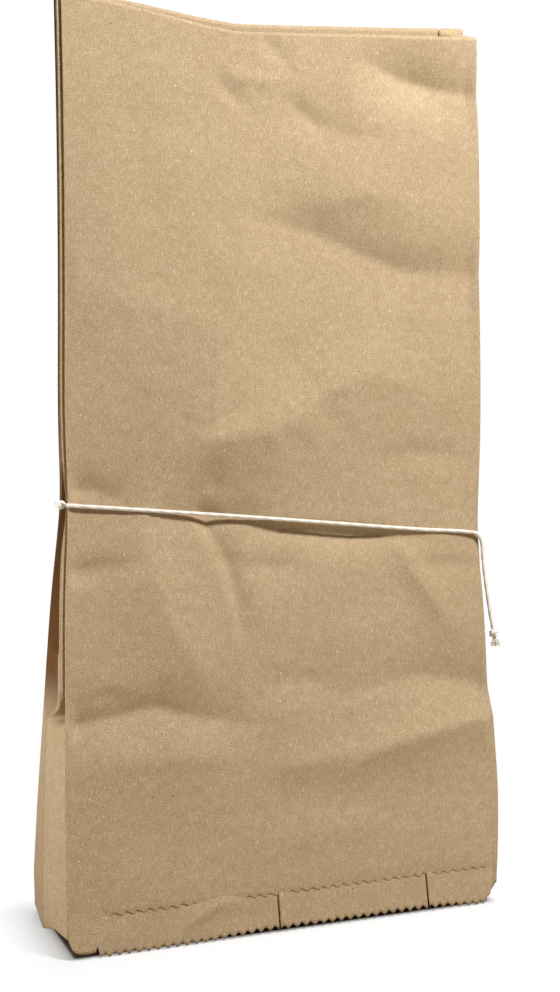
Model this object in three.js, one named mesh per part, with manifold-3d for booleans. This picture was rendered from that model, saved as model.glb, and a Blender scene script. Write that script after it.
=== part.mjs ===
// A brown paper lunch bag that stands open at its base and is drawn flat above a string round its middle.
// Millimetres. X runs along the front panel, Y from the front to the back and Z up.
// The origin is the centre of the flat base.

import * as THREE from 'three';
import { mergeVertices } from 'three/addons/utils/BufferGeometryUtils.js';
import Module from 'manifold-3d';

// The folded sheet
const panelWidth = 133.4;
const sideWidth = 46.5;
const bagHeight = 275.5;
const paperThickness = 0.25;

// The mouth: its edge sags between the corners, and the front panel is cut lower than the back
const mouthDip = 5.7;
const lipDrop = 5;
const lipReach = 4;

// The stance: open at the base, popped out below popHeight, drawn in by the string, flat above it
const uprightHeight = 13;
const hipHeight = 36;
const hipReach = 28;
const hipBulge = 1.3;
const hipShift = 1;
const popHeight = 63;
const popBlend = 3;
const sideRidge = 2.2;
const pleatGap = 5.6;
const neckHeight = 119.7;
const neckTilt = 11.6;
const neckDepth = 10.6;
const neckSqueeze = 1.1;
const neckReach = 20;
const neckFade = 12;
const mouthDepth = 9.2;
const neckShiftX = 4.5;
const neckShiftY = -4.4;
const mouthShiftX = 7.8;
const mouthShiftY = -1;

// Creases fade out over this distance from the folds, where the gusset lies behind the panel
const foldGuard = 16;

// The rounded lower edge of the sides and the flat that the bag stands on
const flatInset = 8;
const hemTuck = 1.4;
const hemTuckHeight = 2.5;
const hemHeight = 7;

// The pinked band that is glued round the foot of the front panel
const bandTop = 11.4;
const bandSlope = 2.6;
const bandEndGap = 0.7;
const toothPitch = 2.8;
const toothDepth = 1.3;
const plainLength = 8;
const plainRise = 1.6;
const plainRadius = 3;
const tearHeight = 1.7;
const tearWidth = 0.5;
const cornerLength = 6;
const cornerRise = 6.4;
const slitWidth = 0.45;
const slitPlaces = [-4.8, 43.1];

// The string
const stringDiameter = 1.4;
const knotDiameter = 3.2;
const endKnotDiameter = 2.5;

// How finely the sheet is folded
const frontColumns = 32;
const backColumns = 12;
const sideQuarters = 4;

const wasm = await Module();
wasm.setup();

// A closed three.js geometry as a solid that can be joined and cut.
function toSolid(geometry) {
  const bare = geometry.clone();
  bare.deleteAttribute('normal');
  bare.deleteAttribute('uv');
  const welded = mergeVertices(bare, 1e-4);
  return new wasm.Manifold(new wasm.Mesh({
    numProp: 3,
    vertProperties: new Float32Array(welded.attributes.position.array),
    triVerts: new Uint32Array(welded.index.array),
  }));
}

// A solid as a three.js geometry again.
function toGeometry(solid) {
  const mesh = solid.getMesh();
  const geometry = new THREE.BufferGeometry();
  geometry.setAttribute('position', new THREE.BufferAttribute(new Float32Array(mesh.vertProperties), 3));
  geometry.setIndex(new THREE.BufferAttribute(new Uint32Array(mesh.triVerts), 1));
  geometry.computeVertexNormals();
  return geometry;
}

// A flat outline drawn in X and Z, made into a plate between two depths.
function plate(shape, frontY, backY) {
  const geometry = new THREE.ExtrudeGeometry(shape, { depth: backY - frontY, bevelEnabled: false });
  geometry.rotateX(Math.PI / 2);
  geometry.translate(0, backY, 0);
  return toSolid(geometry);
}

const { clamp, lerp, smoothstep } = THREE.MathUtils;
const ramp = (value, start, end) => clamp((value - start) / (end - start), 0, 1);
const swell = (value, place, reach) => Math.exp(-(((value - place) / reach) ** 2));
const easeOut = (share) => 1 - (1 - share) ** 2;

// Creases in the front panel, each a line in X and Z with its rise out of the sheet. The reach is how far it spreads
// to the left and to the right of someone who walks along the line.
const frontCreases = [
  { name: 'dent under the right of the mouth', line: [[27, 262], [46, 255], [76, 252]], rise: -2.4, reach: [9, 18] },
  { name: 'slanting valley', line: [[-3, 209], [22, 204], [48, 194], [76, 196]], rise: -1.8, reach: [14, 18] },
  { name: 'ridge above the valley', line: [[4, 213], [37, 219], [76, 205]], rise: 1.2, reach: [18, 10] },
  { name: 'beak', line: [[-26, 146], [4, 146], [34, 163], [64, 149]], rise: 2.4, reach: [34, 20] },
  { name: 'valley left of the beak', line: [[-26, 146], [-13, 168], [-4, 208]], rise: -1.4, reach: [18, 14] },
  { name: 'hollow left above the string', line: [[-64, 134], [-50, 133], [-37, 124]], rise: -1.6, reach: [10, 9] },
  { name: 'hollow bridged by the string', line: [[-24, 121], [32, 117]], rise: -3.2, reach: [14, 15] },
  { name: 'hollow left below the string', line: [[-64, 105], [-40, 108]], rise: -1.2, reach: [9, 9] },
  { name: 'rounded fold', line: [[-33, 112], [-24, 90], [-16, 71]], rise: 2, reach: [13, 15] },
  { name: 'upright crease', line: [[-14, 110], [-11, 94], [-11, 84]], rise: -1.2, reach: [14, 9] },
  { name: 'slanting dent', line: [[33, 108], [46, 91]], rise: -1.6, reach: [13, 10] },
  { name: 'valley above the right fold', line: [[34, 81], [56, 69], [72, 64]], rise: -2.6, reach: [20, 10] },
  { name: 'ridge at the right pop line', line: [[14, 40], [30, 50], [72, 57]], rise: 2, reach: [12, 16] },
  { name: 'valley at the left pop line', line: [[-68, 63], [-38, 66], [-8, 60]], rise: -2.4, reach: [13, 10] },
];

// The back panel is creased at the same pop line and drawn in by the same string.
const backCreases = [
  { name: 'pop line', line: [[-68, 61], [72, 64]], rise: 1.8, reach: [16, 16] },
  { name: 'hollow bridged by the string', line: [[36, 117], [-30, 122]], rise: -0.5, reach: [14, 14] },
];

// How far one crease lifts the panel at a point: all of its rise on the line, none at its reach.
function creaseLift(crease, point) {
  const nearest = new THREE.Vector3();
  let lift = 0;
  for (let i = 1; i < crease.line.length; i += 1) {
    const from = new THREE.Vector3(crease.line[i - 1][0], 0, crease.line[i - 1][1]);
    const to = new THREE.Vector3(crease.line[i][0], 0, crease.line[i][1]);
    new THREE.Line3(from, to).closestPointToPoint(point, true, nearest);
    const onLeft = (to.x - from.x) * (point.z - from.z) > (to.z - from.z) * (point.x - from.x);
    const share = 1 - nearest.distanceTo(point) / crease.reach[onLeft ? 0 : 1];
    lift = Math.max(lift, share);
  }
  return crease.rise * lift ** 2;
}

// How far all the creases lift a panel out of its plane at a point.
function relief(creases, x, z) {
  const point = new THREE.Vector3(x, 0, z);
  return creases.reduce((sum, crease) => sum + creaseLift(crease, point), 0);
}

// Depth of the bag from the front panel to the back panel at a level.
function depthAt(level) {
  if (level < neckHeight) return lerp(sideWidth, neckDepth, ramp(level, uprightHeight, neckHeight));
  return mouthDepth + (neckDepth - mouthDepth) * Math.exp(-(level - neckHeight) / neckFade);
}

// Half the width between the folds: they spread at the hips, the string draws them in, the hem is tucked under.
function halfWidthAt(level) {
  const bulge = hipBulge * swell(level, hipHeight, hipReach);
  const squeeze = neckSqueeze * swell(level, neckHeight, neckReach);
  const tuck = hemTuck * (1 - ramp(level, hemTuckHeight, hemHeight));
  return panelWidth / 2 + bulge - squeeze - tuck;
}

// Middle of the bag at a level, which leans a little as the flat part stands up.
function middleAt(level) {
  const below = ramp(level, uprightHeight, neckHeight);
  const above = ramp(level, neckHeight, bagHeight);
  return new THREE.Vector2(
    lerp(neckShiftX * below, mouthShiftX, easeOut(above)) + hipShift * swell(level, hipHeight, hipReach),
    lerp(neckShiftY * below, mouthShiftY, above),
  );
}

// The string slants, so the levels near it slant with it.
function slantedHeight(x, level) {
  const share = level < neckHeight ? ramp(level, uprightHeight, neckHeight) : 1 - ramp(level, neckHeight, bagHeight);
  return level - neckTilt * share * x / panelWidth;
}

// A point of the front or back panel, with along from -1 at the left fold to 1 at the right fold.
function panelPoint(along, level, facing, creases) {
  const middle = middleAt(level);
  const halfWidth = halfWidthAt(level);
  const x = middle.x + along * halfWidth;
  const z = slantedHeight(along * halfWidth, level);
  const fade = ramp(level, uprightHeight, 2 * uprightHeight);
  const edge = ramp(halfWidth * (1 - Math.abs(along)), 0, foldGuard);
  const y = middle.y + facing * (depthAt(level) / 2 + fade * edge * relief(creases, x, z));
  return new THREE.Vector3(x, y, z);
}

const frontPoint = (along, level) => panelPoint(along, level, -1, frontCreases);
const backPoint = (along, level) => panelPoint(along, level, 1, backCreases);

// The five folds of a side panel, from the front fold to the back fold. Above the pop line the panel is
// pleated twice, in to a valley, out to its middle ridge and in again. Below it the pleats stand open.
function sideFolds(side, level) {
  const front = frontPoint(side, level);
  const back = backPoint(side, level);
  const depth = depthAt(level);
  const pleat = Math.min(depth / 2, pleatGap);
  const popped = 1 - smoothstep(level, popHeight - popBlend, popHeight + popBlend);
  const ridge = lerp(pleat, depth / 2, popped) / depth;
  const foldedIn = (span) => Math.sqrt(Math.max(0, (sideWidth / 4) ** 2 - (span / 2) ** 2));
  const fold = (share, foldedInset, openInset) => {
    const point = front.clone().lerp(back, share);
    point.x -= side * lerp(foldedInset, openInset, popped);
    return point;
  };
  return [
    front,
    fold(ridge / 2, foldedIn(pleat), -sideRidge / 2),
    fold(ridge, 0, -sideRidge),
    fold((1 + ridge) / 2, foldedIn(depth - pleat), -sideRidge / 2),
    back,
  ];
}

// The stations round the bag, from the left fold along the front, the right side, the back and the left side.
const stations = [];
for (let i = 0; i < frontColumns; i += 1) {
  stations.push((level) => frontPoint(2 * i / frontColumns - 1, level));
}
for (let i = 0; i < sideQuarters; i += 1) {
  stations.push((level) => sideFolds(1, level)[i]);
}
for (let i = 0; i < backColumns; i += 1) {
  stations.push((level) => backPoint(1 - 2 * i / backColumns, level));
}
for (let i = 0; i < sideQuarters; i += 1) {
  stations.push((level) => sideFolds(-1, level)[sideQuarters - i]);
}

// Evenly spaced levels from one height up to the next, the first one left out.
function steps(from, to, count) {
  return Array.from({ length: count }, (_, i) => lerp(from, to, (i + 1) / count));
}

// The levels above the flat base. The sheet runs past the mouth, where it is then cut.
const mouthTrim = 6;
const levels = [
  hemTuckHeight,
  hemHeight,
  ...steps(hemHeight, uprightHeight, 2),
  ...steps(uprightHeight, popHeight - popBlend, 8),
  ...steps(popHeight - popBlend, popHeight + popBlend, 4),
  ...steps(popHeight + popBlend, neckHeight, 10),
  ...steps(neckHeight, bagHeight + mouthTrim, 26),
];

// One level's ring of points, moved in by the thickness of the sheet for the inner face.
function ring(level, inset) {
  const points = stations.map((station) => station(level));
  return points.map((point, i) => {
    const before = points[(i + points.length - 1) % points.length];
    const after = points[(i + 1) % points.length];
    const normalIn = new THREE.Vector2(before.y - point.y, point.x - before.x).normalize();
    const normalOut = new THREE.Vector2(point.y - after.y, after.x - point.x).normalize();
    const mitre = normalIn.clone().add(normalOut).divideScalar(1 + normalIn.dot(normalOut));
    return new THREE.Vector3(point.x + inset * mitre.x, point.y + inset * mitre.y, point.z);
  });
}

// The flat base: the lowest ring drawn in towards the middle, at the floor.
function baseRing(lift) {
  const halfWidth = panelWidth / 2;
  const halfDepth = sideWidth / 2;
  return ring(hemTuckHeight, 0).map((point) => new THREE.Vector3(
    point.x * (halfWidth - flatInset) / halfWidth,
    point.y * (halfDepth - flatInset) / halfDepth,
    lift,
  ));
}

// The space inside one face of the sheet, as a closed solid from the base to above the mouth.
function tub(inset, extraTop) {
  const rings = [baseRing(inset), ...levels.map((level) => ring(level, inset))];
  rings.at(-1).forEach((point) => point.setZ(point.z + extraTop));
  const last = rings.length - 1;
  const geometry = new THREE.CylinderGeometry(1, 1, 1, stations.length, last);
  const position = geometry.attributes.position;
  const vertex = new THREE.Vector3();
  for (let i = 0; i < position.count; i += 1) {
    vertex.fromBufferAttribute(position, i);
    const row = rings[Math.round((vertex.y + 0.5) * last)];
    const turn = Math.atan2(vertex.x, vertex.z) / (2 * Math.PI);
    const place = Math.round((turn + 1) * stations.length) % stations.length;
    if (Math.hypot(vertex.x, vertex.z) > 0.5) {
      vertex.copy(row[place]);
    } else {
      vertex.set(0, 0, 0);
      row.forEach((point) => vertex.addScaledVector(point, 1 / row.length));
    }
    position.setXYZ(i, vertex.x, vertex.y, vertex.z);
  }
  return toSolid(geometry);
}

// Everything above the sagging edge of the mouth, between two depths.
function mouthCut(drop, frontY, backY) {
  const middle = middleAt(bagHeight).x;
  const reach = panelWidth / 2 + mouthTrim;
  const top = bagHeight - drop;
  const shape = new THREE.Shape();
  shape.moveTo(middle - reach, top);
  shape.quadraticCurveTo(middle, top - 2 * mouthDip, middle + reach, top);
  shape.lineTo(middle + panelWidth, top);
  shape.lineTo(middle + panelWidth, bagHeight + 4 * mouthTrim);
  shape.lineTo(middle - panelWidth, bagHeight + 4 * mouthTrim);
  shape.lineTo(middle - panelWidth, top);
  return plate(shape, frontY, backY);
}

// The upper edge of the pinked band falls a little from left to right.
const bandTopAt = (x) => bandTop - bandSlope * x / panelWidth;

// A row of teeth along an edge, from one end to the other, as points at the tips and roots.
function teeth(from, to, heightAt, rise) {
  const count = Math.max(1, Math.round(Math.abs(to - from) / toothPitch));
  const points = [];
  for (let i = 0; i <= 2 * count; i += 1) {
    const x = lerp(from, to, i / (2 * count));
    points.push([x, heightAt(x) + (i % 2) * rise]);
  }
  return points;
}

// The lower edge of the band, from the left end to the right end: a plain stretch, a tear, teeth, a worn corner.
function bandFoot(left, right) {
  const tear = left + plainLength;
  const corner = right - cornerLength;
  return [
    [left, plainRise + plainRadius],
    [left + plainRadius * (1 - Math.SQRT1_2), plainRise + plainRadius * (1 - Math.SQRT1_2)],
    [left + plainRadius, plainRise],
    [tear - tearWidth / 2, plainRise],
    [tear, plainRise + tearHeight],
    ...teeth(tear + tearWidth, corner, () => 0, toothDepth),
    [corner + cornerLength * 0.3, cornerRise * 0.34],
    [corner + cornerLength * 0.5, cornerRise * 0.36],
    [corner + cornerLength * 0.75, cornerRise * 0.7],
    [corner + cornerLength * 0.75, cornerRise],
    [right, cornerRise * 1.2],
  ];
}

// The band in pieces, parted at the slits, each a plate on the front panel.
function band() {
  const frontY = -sideWidth / 2 - paperThickness;
  const backY = -sideWidth / 2 + paperThickness / 2;
  const left = -panelWidth / 2 + bandEndGap;
  const right = panelWidth / 2 - bandEndGap;
  const outline = new THREE.Shape([
    ...bandFoot(left, right),
    ...teeth(right, left, bandTopAt, -toothDepth),
  ].map(([x, z]) => new THREE.Vector2(x, z)));
  return slitPlaces.reduce((solid, place) => {
    const slit = new THREE.Shape();
    slit.moveTo(place - slitWidth / 2, -toothDepth);
    slit.lineTo(place + slitWidth / 2, -toothDepth);
    slit.lineTo(place + slitWidth / 2, bandTopAt(place) + toothDepth);
    slit.lineTo(place - slitWidth / 2, bandTopAt(place) + toothDepth);
    return solid.subtract(plate(slit, frontY - paperThickness, backY + paperThickness));
  }, plate(outline, frontY, backY));
}

// The whole bag: the sheet between its two faces, cut at the mouth, with the band on its foot.
function paperBag() {
  const mouthFront = middleAt(bagHeight).y - depthAt(bagHeight) / 2;
  const sheet = tub(0, 0).subtract(tub(paperThickness, mouthTrim / 2));
  const cut = sheet
    .subtract(mouthCut(0, -panelWidth, panelWidth))
    .subtract(mouthCut(lipDrop, -panelWidth, mouthFront + lipReach));
  return cut.add(band());
}

// The string's route, from its frayed end up to the right fold, along the front, round the left fold
// and along the back to the right fold again.
const stringRoute = [
  [73.7, -13.2, 78],
  [73.2, -13.1, 82.2],
  [72.5, -12.8, 86.9],
  [71.9, -12.3, 92.6],
  [71.2, -11.9, 99.5],
  [70.8, -11.5, 105.5],
  [70.5, -11.3, 110.2],
  [69.2, -11.1, 113.3],
  [66, -10.9, 114],
  [50, -10.8, 115.4],
  [25, -10.8, 117.7],
  [0, -10.8, 119.9],
  [-25, -10.8, 122.1],
  [-50, -10.8, 124.3],
  [-60, -11.2, 125.2],
  [-62.6, -11.1, 125.4],
  [-63.2, -8.6, 125.5],
  [-62.8, -4.4, 125.5],
  [-62.8, -1, 125.4],
  [-62.6, 1.9, 125.3],
  [-60, 2.2, 125.1],
  [-25, 1.9, 122.1],
  [5, 1.9, 119.5],
  [40, 1.9, 116.3],
  [68.8, 2.3, 113.8],
  [71.4, 2, 113.6],
  [71.6, -0.8, 113.6],
  [71.3, -4, 113.5],
  [71.2, -6.8, 113.4],
];
const knotPlace = [-62.7, -1.2, 125.1];
const endKnotPlace = [73.35, -13.1, 81.2];
const stringSides = 8;
const stringSteps = 80;

// The string with the knot at the left fold and the overhand knot above its frayed end.
function tieString() {
  const path = new THREE.CatmullRomCurve3(stringRoute.map((point) => new THREE.Vector3(...point)));
  const section = new THREE.Shape();
  for (let i = 0; i < stringSides; i += 1) {
    const turn = 2 * Math.PI * i / stringSides;
    const x = stringDiameter / 2 * Math.cos(turn);
    const y = stringDiameter / 2 * Math.sin(turn);
    if (i === 0) section.moveTo(x, y);
    else section.lineTo(x, y);
  }
  const cord = toSolid(new THREE.ExtrudeGeometry(section, { extrudePath: path, steps: stringSteps }));
  const knot = new THREE.SphereGeometry(knotDiameter / 2, 10, 8).translate(...knotPlace);
  const endKnot = new THREE.SphereGeometry(endKnotDiameter / 2, 10, 8).translate(...endKnotPlace);
  return cord.add(toSolid(knot)).add(toSolid(endKnot));
}

const kraftPaper = new THREE.MeshStandardMaterial({ color: 0xb89b74, roughness: 0.9, metalness: 0 });
const cotton = new THREE.MeshStandardMaterial({ color: 0xe9e5da, roughness: 0.85, metalness: 0 });

function named(name, solid, material) {
  const mesh = new THREE.Mesh(toGeometry(solid), material);
  mesh.name = name;
  return mesh;
}

const lunchBag = new THREE.Group();
lunchBag.add(named('paper_bag', paperBag(), kraftPaper));
lunchBag.add(named('tie_string', tieString(), cotton));

export default lunchBag;
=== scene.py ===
# %% [markdown]
# # A brown paper lunch bag, tied with a string
#
# The bag stands on its flat base. Its lower third is open, a string draws the middle in, and the part
# above the string is folded nearly flat. The imported model gives the places and sizes; this lesson dresses
# it. The first cell loads the model.

# %% Load the imported bag
import math
import random

import bmesh
import bpy
import numpy as np
from mathutils import Matrix, Vector, noise


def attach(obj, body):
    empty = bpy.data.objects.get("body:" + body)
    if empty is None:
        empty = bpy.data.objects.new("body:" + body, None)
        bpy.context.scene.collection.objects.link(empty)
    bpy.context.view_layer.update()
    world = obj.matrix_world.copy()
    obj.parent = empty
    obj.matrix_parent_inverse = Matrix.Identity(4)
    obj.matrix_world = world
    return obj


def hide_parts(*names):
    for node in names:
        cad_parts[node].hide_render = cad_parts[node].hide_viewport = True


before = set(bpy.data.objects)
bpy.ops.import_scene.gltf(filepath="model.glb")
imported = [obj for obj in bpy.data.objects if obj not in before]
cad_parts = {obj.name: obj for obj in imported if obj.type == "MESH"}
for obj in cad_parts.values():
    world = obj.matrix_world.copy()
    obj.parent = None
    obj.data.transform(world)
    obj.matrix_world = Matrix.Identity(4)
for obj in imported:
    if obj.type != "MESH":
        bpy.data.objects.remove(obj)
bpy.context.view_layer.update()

MM = 0.001

# %% [markdown]
# ## The camera
#
# The bag is seen from a little to the left, from about the height of the string, and slightly from above.
# The camera could be aimed with a constraint, but a matrix made of its right, up and back directions says
# the same thing in a few short lines, and it allows the small roll of the picture.

# %% Camera
PICTURE_HEIGHT = 992
FOCAL_PIXELS = 1457.8
SENSOR = 36.0
NEAREST_SEEN = 10 * MM
camera_place = Vector((-150.8, -418.4, 137.6)) * MM
camera_yaw = 0.361
camera_pitch = 0.026
camera_roll = math.radians(-1.08)


def camera_matrix(place, yaw, pitch, roll):
    ahead = Vector((math.sin(yaw) * math.cos(pitch), math.cos(yaw) * math.cos(pitch), -math.sin(pitch)))
    level_right = Vector((math.cos(yaw), -math.sin(yaw), 0))
    level_up = level_right.cross(ahead)
    right = level_right * math.cos(roll) + level_up * math.sin(roll)
    up = level_up * math.cos(roll) - level_right * math.sin(roll)
    return Matrix.Translation(place) @ Matrix((right, up, -ahead)).transposed().to_4x4()


camera_data = bpy.data.cameras.new("camera")
camera_data.sensor_fit = "VERTICAL"
camera_data.sensor_height = SENSOR
camera_data.lens = FOCAL_PIXELS / PICTURE_HEIGHT * SENSOR
camera_data.clip_start = NEAREST_SEEN
camera = bpy.data.objects.new("camera", camera_data)
bpy.context.collection.objects.link(camera)
camera.matrix_world = camera_matrix(camera_place, camera_yaw, camera_pitch, camera_roll)
bpy.context.scene.camera = camera
print(f"camera lens {camera_data.lens:.1f} mm")

# %% [markdown]
# ## Small helpers
#
# Every piece below ends as an object at the origin, with its place in its mesh. One helper turns a bmesh
# into such an object, smooths its shading and lets it ride on the bag's only body. Paper and string are
# both made from flat grids, so two more helpers make a grid and move its vertices to their places. The
# flat places stay in a UV map. A last helper gives a sheet its thickness.

# %% Helpers for pieces


def finished_piece(name, bm):
    mesh = bpy.data.meshes.new(name)
    bm.to_mesh(mesh)
    bm.free()
    mesh.shade_smooth()
    piece = bpy.data.objects.new(name, mesh)
    bpy.context.collection.objects.link(piece)
    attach(piece, "root")
    print(f"{name}: {len(mesh.vertices)} vertices, {len(mesh.polygons)} faces")
    return piece


def flat_grid(columns, rows):
    """A flat grid with one face per column and row, and the column and row of each of its vertices."""
    bm = bmesh.new()
    bmesh.ops.create_grid(bm, x_segments=columns, y_segments=rows, size=0.5)
    places = [(round((v.co.x + 0.5) * columns), round((v.co.y + 0.5) * rows)) for v in bm.verts]
    return bm, places


def lay_out(bm, places, points, flat):
    """Move each grid vertex to its point in millimetres, and keep its flat place as the UV map."""
    sheet_map = bm.loops.layers.uv.new("sheet")
    for vert, (column, row) in zip(bm.verts, places):
        vert.co = Vector(points[row, column]) * MM
    spot = dict(zip(bm.verts, places))
    for face in bm.faces:
        for loop in face.loops:
            column, row = spot[loop.vert]
            loop[sheet_map].uv = flat[row, column]


def give_thickness(piece, thickness):
    modifier = piece.modifiers.new("paper thickness", "SOLIDIFY")
    modifier.thickness = thickness * MM
    modifier.offset = -1


print("helpers for pieces ready")

# %% [markdown]
# ## The string's line
#
# The string is a limp cotton cord. It starts behind the right fold, runs along the back, turns round the
# left fold, crosses the front and bends down over the right fold into a short tail. A Blender curve could
# hold this line, but the cord's twist needs even steps, so the route is a list of chosen points, and a
# smooth curve through them is cut into even steps, which the cord's rings then follow.

# %% The string's route
string_diameter = 1.2
string_step = 0.4
string_route = [
    (71.2, -6.8, 113.4),
    (71.6, -3.4, 113.5),
    (71.5, -0.6, 113.6),
    (70.2, 1.6, 113.7),
    (67.4, 2.4, 113.9),
    (62, 2.2, 114.4),
    (40, 1.9, 116.3),
    (5, 1.9, 119.5),
    (-25, 1.9, 122.1),
    (-52, 1.9, 124.4),
    (-58, 2.2, 124.9),
    (-60.6, 1.6, 125.2),
    (-62.2, -0.2, 125.4),
    (-62.6, -3, 125.5),
    (-62.6, -6.4, 125.5),
    (-62.1, -8.6, 125.4),
    (-60.6, -10.1, 125.3),
    (-58, -10.45, 125),
    (-50, -10.35, 124.3),
    (-38, -10.5, 123.2),
    (-25, -10.4, 122),
    (0, -10.3, 119.6),
    (25, -10.3, 117.1),
    (50, -10.3, 114.6),
    (66, -10.6, 113.3),
    (69.2, -11, 112.6),
    (70.5, -11.3, 110.2),
    (70.8, -11.5, 105.5),
    (71.2, -11.9, 99.5),
    (71.9, -12.3, 92.6),
    (72.5, -12.8, 86.9),
    (73.2, -13.1, 82.2),
    (73.7, -13.2, 78),
]


def smooth_path(points, spacing, cuts=25):
    """Points at an even spacing along a centripetal Catmull-Rom curve through the given ones."""
    points = np.array(points, float)
    padded = np.vstack([2 * points[0] - points[1], points, 2 * points[-1] - points[-2]])
    fine = [points[0]]
    for a, b, c, d in zip(padded, padded[1:], padded[2:], padded[3:]):
        t1 = math.sqrt(np.linalg.norm(b - a))
        t2 = t1 + math.sqrt(np.linalg.norm(c - b))
        t3 = t2 + math.sqrt(np.linalg.norm(d - c))
        for t in np.linspace(t1, t2, cuts)[1:]:
            ab = a + (b - a) * t / t1
            bc = b + (c - b) * (t - t1) / (t2 - t1)
            cd = c + (d - c) * (t - t2) / (t3 - t2)
            abc = ab + (bc - ab) * t / t2
            bcd = bc + (cd - bc) * (t - t1) / (t3 - t1)
            fine.append(abc + (bcd - abc) * (t - t1) / (t2 - t1))
    fine = np.array(fine)
    along = np.concatenate([[0], np.cumsum(np.linalg.norm(np.diff(fine, axis=0), axis=1))])
    even = np.linspace(0, along[-1], round(along[-1] / spacing) + 1)
    return np.stack([np.interp(even, along, fine[:, axis]) for axis in range(3)], axis=1)


string_path = smooth_path(string_route, string_step)

# %% [markdown]
# ## The string itself
#
# Cotton string is twisted from a few yarns. A curve with a round bevel would be smooth, so the cord is
# rolled from a flat ribbon instead: a grid is wrapped round the line, its section has a lobe for each
# yarn, and the section turns as it goes along. The grid's two long edges meet and are merged.

# %% Roll a ribbon into a twisted cord
yarn_groove = 0.16
merge_reach = 1e-7


def carried_frames(path):
    """A side direction for each point of a path, carried along without twist."""
    tangents = np.gradient(path, axis=0)
    tangents /= np.linalg.norm(tangents, axis=1)[:, None]
    side = Vector(tangents[0]).orthogonal().normalized()
    sides = []
    for tangent in tangents:
        side = (side - Vector(tangent) * side.dot(Vector(tangent))).normalized()
        sides.append(side.copy())
    return tangents, np.array(sides)


def twisted_cord(name, path, diameter, yarns=3, lay=4.6, ring=18):
    tangents, sides = carried_frames(path)
    across = np.cross(tangents, sides)
    steps = len(path) - 1
    bm, places = flat_grid(steps, ring)
    run = np.concatenate([[0], np.cumsum(np.linalg.norm(np.diff(path, axis=0), axis=1))])
    turn = 2 * math.pi * np.arange(ring + 1) / ring
    radius = diameter / 2 * (1 - yarn_groove + yarn_groove * np.abs(np.cos(yarns * turn / 2)))
    angle = turn[:, None] + 2 * math.pi * run[None, :] / (lay * yarns)
    offset = np.cos(angle)[..., None] * sides[None] + np.sin(angle)[..., None] * across[None]
    points = path[None] + radius[:, None, None] * offset
    flat = np.stack(np.broadcast_arrays(run[None, :], diameter * turn[:, None] / 2), axis=2)
    lay_out(bm, places, points, flat)
    bmesh.ops.remove_doubles(bm, verts=bm.verts, dist=merge_reach)
    bmesh.ops.holes_fill(bm, edges=[e for e in bm.edges if e.is_boundary], sides=ring)
    bmesh.ops.recalc_face_normals(bm, faces=bm.faces)
    return finished_piece(name, bm)


tie_cord = twisted_cord("tie_cord", string_path, string_diameter)
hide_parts("tie_string")

# %% [markdown]
# ## The knots
#
# Where the string turns round the left fold it is knotted, and above its loose end sits a small overhand
# knot. A true knot could be drawn strand by strand, but at this size only its coils show. So each knot is
# a short piece of the same cord that winds round the string.

# %% Knots
knot_step, knot_lay, knot_ring = 0.25, 3.4, 14
knot_points, knot_tuck = 34, 0.28
end_knot_diameter = 1.15


def winding(centre, axis, radius, turns, pitch, lean, start):
    """A helix round an axis, from a start angle, with its ends turned in."""
    axis = Vector(axis).normalized()
    side = axis.orthogonal().normalized()
    across = axis.cross(side)
    points = []
    for t in np.linspace(0, 1, knot_points):
        angle = start + 2 * math.pi * turns * t
        reach = radius * (1 - knot_tuck + knot_tuck * math.sin(math.pi * t) ** 0.5)
        point = Vector(centre) + axis * (pitch * turns * (t - 0.5) + lean * math.sin(angle))
        points.append(point + (side * math.cos(angle) + across * math.sin(angle)) * reach)
    return np.array(points)


def knot(name, coils, diameter):
    return twisted_cord(name, smooth_path(coils, knot_step), diameter, lay=knot_lay, ring=knot_ring)


fold_coils = winding(
    centre=(-62.7, -8.4, 125.5), axis=(0.05, 1, 0.05),
    radius=0.75, turns=2.0, pitch=1.0, lean=0.2, start=math.pi,
)
fold_knot = knot("fold_knot", fold_coils, string_diameter)
end_coils = winding(
    centre=(73.35, -13.1, 81.2), axis=(0.12, -0.03, -1),
    radius=0.95, turns=1.9, pitch=0.95, lean=0.35, start=0,
)
end_knot = knot("end_knot", end_coils, end_knot_diameter)

# %% [markdown]
# ## The frayed end
#
# Below the last knot the yarns have come apart into a tuft of fine, slightly curled threads. Hair
# particles could make it, but they aren't part of a mesh. A curve with a thin bevel can hold all the
# threads, and it is made a mesh at the end.

# %% Frayed end
random.seed(7)
thread_count, thread_radius = 34, 0.11
thread_spread_x, thread_spread_y, thread_curl = 0.45, 0.4, 0.5
thread_shortest, thread_longest = 1.6, 2.6
fray_place, fray_scatter = Vector((73.66, -13.2, 79.6)), 0.28
fray = bpy.data.curves.new("frayed_end", "CURVE")
fray.dimensions = "3D"
fray.bevel_depth = thread_radius * MM
fray.bevel_resolution = 1
fray.resolution_u = 4
for _ in range(thread_count):
    spread = Vector((random.gauss(0, thread_spread_x), random.gauss(0, thread_spread_y), -1))
    curl = Vector((random.gauss(0, thread_curl), random.gauss(0, thread_curl), 0))
    start = fray_place + Vector((random.gauss(0, fray_scatter), random.gauss(0, fray_scatter), 0))
    reach = random.uniform(thread_shortest, thread_longest)
    spline = fray.splines.new("BEZIER")
    spline.bezier_points.add(2)
    for share, point in zip((0, 0.5, 1), spline.bezier_points):
        point.co = (start + spread * reach * share + curl * math.sin(math.pi * share)) * MM
        point.handle_left_type = point.handle_right_type = "AUTO"
frayed_curve = bpy.data.objects.new("frayed_curve", fray)
bpy.context.collection.objects.link(frayed_curve)
frayed_bm = bmesh.new()
frayed_bm.from_mesh(frayed_curve.to_mesh())
frayed_curve.to_mesh_clear()
bpy.data.objects.remove(frayed_curve)
bmesh.ops.holes_fill(frayed_bm, edges=[e for e in frayed_bm.edges if e.is_boundary], sides=0)
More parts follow.
